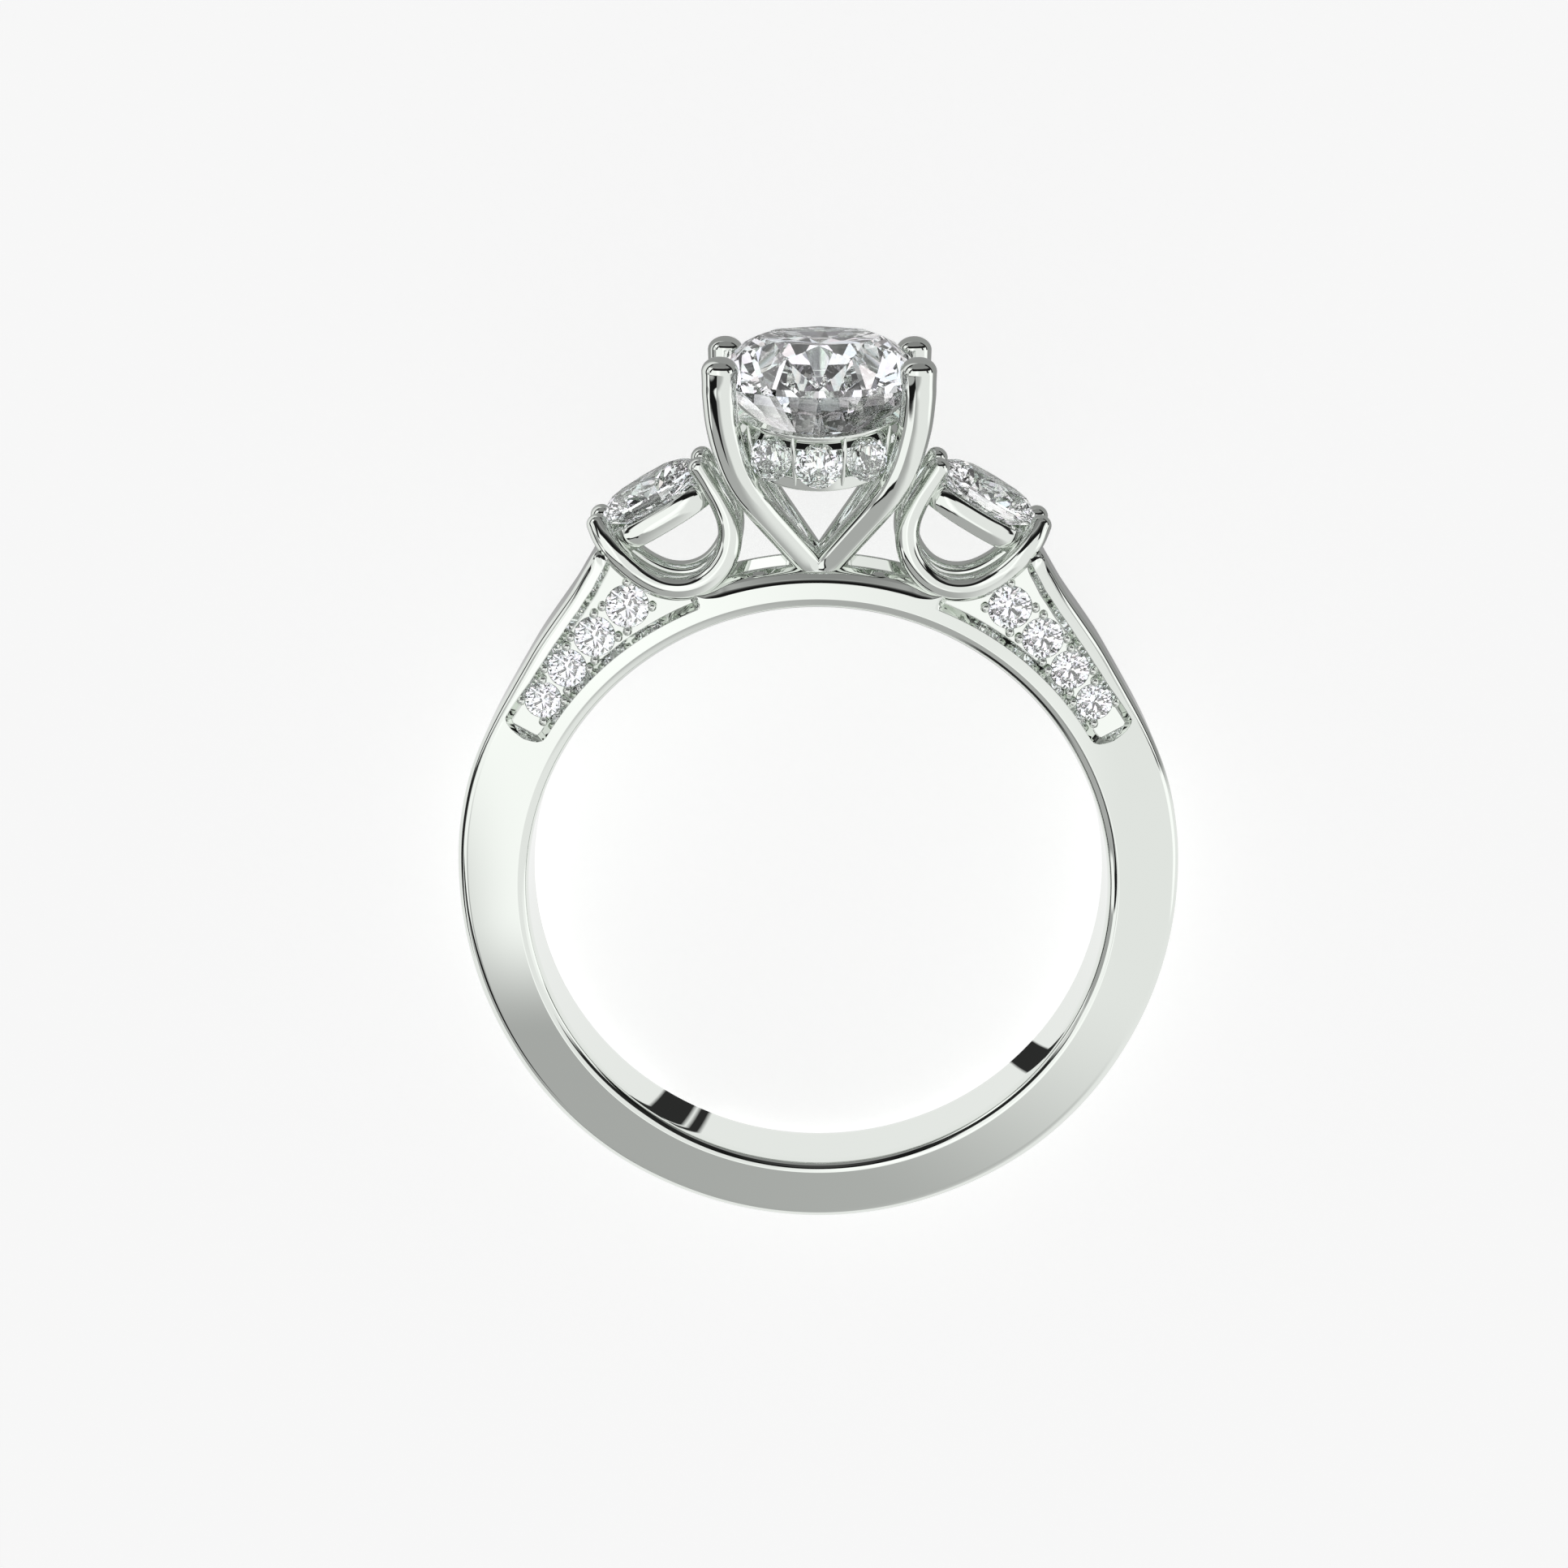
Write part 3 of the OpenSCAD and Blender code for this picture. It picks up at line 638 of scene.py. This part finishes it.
# %% Table
TABLE_HALF, GLOW = 0.6, 0.69
mesh = bpy.data.meshes.new("table")
table_corners = [(x * TABLE_HALF, y * TABLE_HALF, 0) for x, y in ((-1, -1), (1, -1), (1, 1), (-1, 1))]
mesh.from_pydata(table_corners, [], [(0, 1, 2, 3)])
table = bpy.data.objects.new("table", mesh)
bpy.context.scene.collection.objects.link(table)
table_paint, tree, shader = material("pale_table")
shader.inputs["Base Color"].default_value = (0.93, 0.93, 0.93, 1)
shader.inputs["Roughness"].default_value = 0.9
shader.inputs["Specular IOR Level"].default_value = 0.0
shader.inputs["Emission Color"].default_value = (1, 1, 1, 1)
shader.inputs["Emission Strength"].default_value = GLOW
mesh.materials.append(table_paint)
print("side of the table in metres:", 2 * TABLE_HALF)

# %% Cards on the table
# Places here are in metres, and the middle of the bore lies at y = SHIFT / 1000
place = add(tree, "TexCoord")
spot = add(tree, "SeparateXYZ", Vector=place.outputs["Object"])
fields = add(tree, "TexNoise", Vector=place.outputs["Object"], Scale=0.7 * PER_CM, Detail=0.0)
below = add(tree, "Emission", Color=(1, 1, 1, 1), Strength=step(fields.outputs["Fac"], 0.48, 0.56, 0.05, 1.4))

grey_card = step(spot.outputs["X"], -0.014, -0.006, 0.9, 0.34)
mirrored_light = step(spot.outputs["Y"], -0.002, 0.004, 0.95, grey_card)
spoke = reckon("DIVIDE", spot.outputs["X"], reckon("ADD", spot.outputs["Y"], -SHIFT / 1000))
from_bore = add(tree, "VectorMath", operation="DISTANCE")
tree.links.new(place.outputs["Object"], from_bore.inputs[0])
from_bore.inputs[1].default_value = (0, SHIFT / 1000, 0)
within = step(from_bore.outputs["Value"], 0.0087, 0.0088, 1.0, 0.0, "LINEAR")
near = step(spot.outputs["Y"], -0.007, -0.0055, 0.97, 0.0, "LINEAR")
SOFT = 0.01
for first, last in ((0.42, 0.47), (0.49, 0.66), (-1.2, -0.96)):
    after = step(spoke, first - SOFT, first + SOFT, curve="LINEAR")
    before = step(spoke, last - SOFT, last + SOFT, 1.0, 0.0, "LINEAR")
    dark = reckon("MULTIPLY", reckon("MULTIPLY", after, before), reckon("MULTIPLY", near, within))
    mirrored_light = reckon("MULTIPLY", mirrored_light, reckon("SUBTRACT", 1.0, dark))
mirror = add(tree, "Emission", Color=(1, 1, 1, 1), Strength=mirrored_light)
rays = (("Is Glossy Ray", mirror.outputs["Emission"]), ("Transmission Depth", below.outputs["Emission"]))
tree.links.new(seen_by(shader.outputs["BSDF"], rays), tree.nodes["Material Output"].inputs["Surface"])
print("nodes in the table's material:", len(tree.nodes))

# %% [markdown]
# Polished metal shows nothing but its surroundings, so the tent needs some drawing, as a jewellery
# photographer hangs grey and black cards round a ring. A direction in the tent has a share to the east (the
# picture's right), to the north (the ring's head) and up. These helpers draw soft-edged cards in terms of
# the first two.

# %% Cards in the tent
world = bpy.data.worlds.new("studio")
bpy.context.scene.world = world
world.use_nodes = True
# The tent looks different to different rays, so it isn't sampled as one lamp
world.cycles.sampling_method = "NONE"
tree = world.node_tree
tree.nodes.clear()
ray = add(tree, "TexCoord")
split = add(tree, "SeparateXYZ", Vector=ray.outputs["Generated"])
EAST, NORTH, UP = (split.outputs[k] for k in "XYZ")


def slanted(slope, shift):
    """How far a direction lies north of a slanted line: north + slope east + shift."""
    return reckon("ADD", reckon("ADD", NORTH, reckon("MULTIPLY", EAST, slope)), shift)


def card(west, east, south, north, soft=0.03, across=None):
    """1 inside a rectangle of directions and 0 outside, with soft edges; across may stand for north."""
    across = NORTH if across is None else across
    x = reckon("MULTIPLY", step(EAST, west - soft, west + soft), step(EAST, east + soft, east - soft))
    y = reckon("MULTIPLY", step(across, south - soft, south + soft), step(across, north + soft, north - soft))
    return reckon("MULTIPLY", x, y)


def blend(first, second, share):
    """The first light where the share is 0, the second where it is 1: first + share (second - first)."""
    return reckon("ADD", first, reckon("MULTIPLY", share, reckon("SUBTRACT", second, first)))


# %% [markdown]
# The front face of the band is a flat mirror that looks at one small spot south of the zenith, and there a
# slanted edge between a grey card and the bright cloth makes its soft sweep from grey to white. A narrow
# black strip in the west draws the line down each claw, and a black card in the north the lines under the
# domes and along the wires. Behind that the tent is grey. Each line below lays one more card over the last.

# %% Light tent
low = step(EAST, -0.1, 0.6, 0.47, 0.93)
high = step(EAST, -0.1, 0.1, 1.25, 0.94)
light = blend(low, high, step(slanted(0.45, 0.42), -0.06, 0.04))
west_line = slanted(0.22, 0.521)
light = blend(light, 1.1, card(-0.78, -0.2, 0.03, 0.9, 0.015, west_line))
light = blend(light, 1.15, card(-0.12, 0.08, -0.42, -0.335, 0.02))
light = blend(light, 0.42, step(EAST, -0.76, -0.84))
light = blend(light, 1.1, card(-1.2, -0.8, -0.46, -0.3, 0.02))
light = blend(light, 1.2, card(0.86, 1.2, -0.4, 0.4))
light = blend(light, 0.01, card(-0.79, -0.18, -0.06, 0.04, 0.012, west_line))
light = blend(light, 1.0, card(-1.2, -0.84, 0.02, 0.6, 0.02))
light = blend(light, 0.3, card(0.6, 1.2, 0.42, 1.2))
light = blend(light, 0.01, card(-0.45, 0.85, 0.38, 0.72, 0.02))
light = blend(light, 0.28, step(NORTH, 0.58, 0.8))
print("nodes in the tent so far:", len(tree.nodes))

# %% Dark bands in the tent
sides = reckon("MULTIPLY", step(reckon("ABSOLUTE", EAST), 0.3, 0.4), step(NORTH, 0.0, 0.08))
upper_band = reckon("MULTIPLY", step(UP, 0.58, 0.62), step(UP, 0.78, 0.72))
light = blend(light, 0.02, reckon("MULTIPLY", sides, upper_band))
horizon = reckon("MULTIPLY", reckon("MAXIMUM", sides, step(EAST, -0.3, -0.4)), step(UP, 0.24, 0.18))
light = blend(light, 0.02, horizon)
sky = add(tree, "Background", Color=(1, 1, 1, 1), Strength=light)
print("nodes with the dark bands:", len(tree.nodes))

# %% [markdown]
# The table and the stones get a simpler tent. The table sees an even light. A stone bends every ray so much
# that the drawing would break up into noise, so it sees a bright cloth with soft dark patches, which give
# the facets their white, grey and charcoal. The cloth's colour changes a little from place to place, and
# each facet shows one place: that is the stones' fire. The camera sees a plain pale wall.

# %% Light for the table and the stones
east_waves = reckon("SINE", reckon("ADD", reckon("MULTIPLY", EAST, 6.5), 0.6))
north_waves = reckon("SINE", reckon("SUBTRACT", reckon("MULTIPLY", NORTH, 5.5), 0.8))
facets = step(reckon("MULTIPLY", east_waves, north_waves), -0.4, 0.0, 0.05, 1.45)
fire = add(tree, "CombineColor")
# Waves to the east and north, middle and swing of red, green and blue
hues = ((19, 7, 0.95, 0.06), (-11, 17, 0.96, 0.04), (13, -21, 1.0, 0.06))
for k, (east, north, middle, swing) in enumerate(hues):
    wave = reckon("SINE", reckon("ADD", reckon("MULTIPLY", EAST, east), reckon("MULTIPLY", NORTH, north)))
    tree.links.new(reckon("ADD", reckon("MULTIPLY", wave, swing), middle), fire.inputs[k])
inside = add(tree, "Background", Color=fire.outputs["Color"], Strength=facets)
even = add(tree, "Background", Color=(1, 1, 1, 1), Strength=0.26)
plain = add(tree, "Background", Color=(0.94, 0.94, 0.94, 1), Strength=1.0)
rays = (("Transmission Depth", inside), ("Is Diffuse Ray", even), ("Is Camera Ray", plain))
out = add(tree, "OutputWorld")
seen = seen_by(sky.outputs["Background"], [(kind, other.outputs["Background"]) for kind, other in rays])
tree.links.new(seen, out.inputs["Surface"])
print("nodes in the whole tent:", len(tree.nodes))
bpy.context.scene.view_settings.view_transform = "Standard"

# %% [markdown]
# Light runs to and fro inside a cut stone many times before it finds its way out. A path that is cut off too
# early comes back black and makes the stones look dull, so the paths here may be long.

# %% Long light paths
paths = bpy.context.scene.cycles
paths.max_bounces, paths.transmission_bounces, paths.glossy_bounces = 32, 32, 16
print("longest path:", paths.max_bounces)
